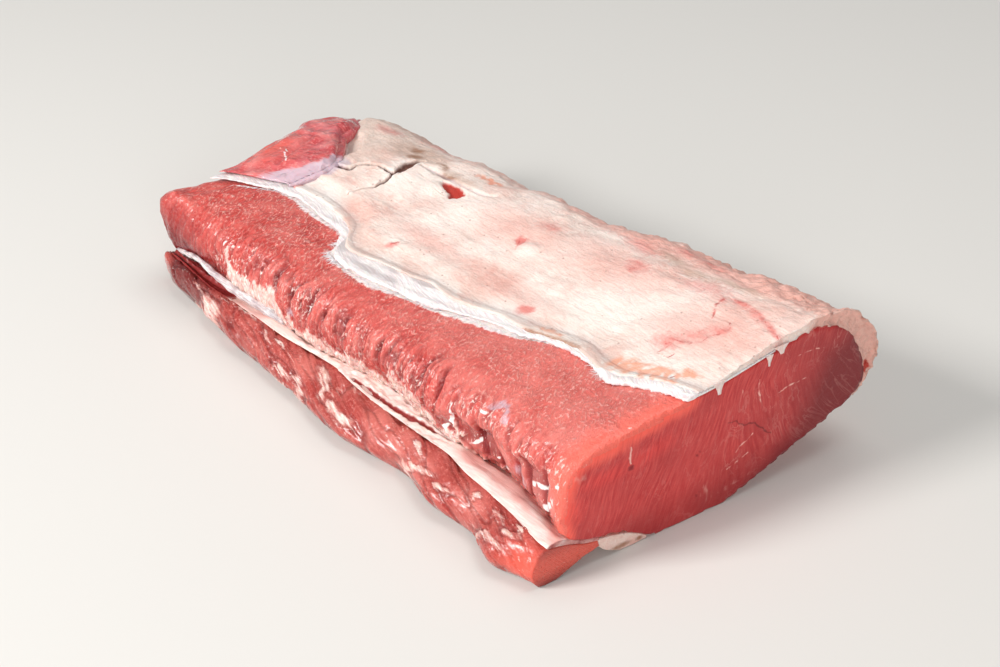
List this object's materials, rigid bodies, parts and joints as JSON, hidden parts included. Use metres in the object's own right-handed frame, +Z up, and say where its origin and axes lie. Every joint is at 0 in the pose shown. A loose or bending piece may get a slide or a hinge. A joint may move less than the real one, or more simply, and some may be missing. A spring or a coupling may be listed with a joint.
{
  "type": "veal loin",
  "caption": "Boneless raw veal loin: a long lean muscle with a torn white backstrap, a fat cap folded over one flank, a side strip along the other, and a clean knife cut at one end.",
  "frame": {"origin": "the middle of the footprint, on the surface that the meat rests on", "axes": "+X along the loin to the knife cut, +Y across it to the fat flank, +Z up through the fat cap"},
  "size_m": [0.3052, 0.1786, 0.073],
  "materials": {
    "lean": "moist raw veal, pinkish red, fine fibres",
    "silverskin": "moist white fibrous sheet",
    "fat": "soft cream fat with pink blotches",
    "dark_lean": "wet raw veal, deep rose",
    "lean_strip": "moist raw veal with patches of fat",
    "seam": "moist creamy white seam",
    "tendon": "silvery tendon",
    "pad_fat": "soft cream fat"
  },
  "bodies": {
    "root": {"loin_eye": "lean", "backstrap": "silverskin", "fat_cap": "fat", "rump_tip": "dark_lean", "side_strip": "lean_strip", "seam_fat": "seam", "silver_cord": "tendon", "underside_fat": "pad_fat"}
  },
  "joints": []
}
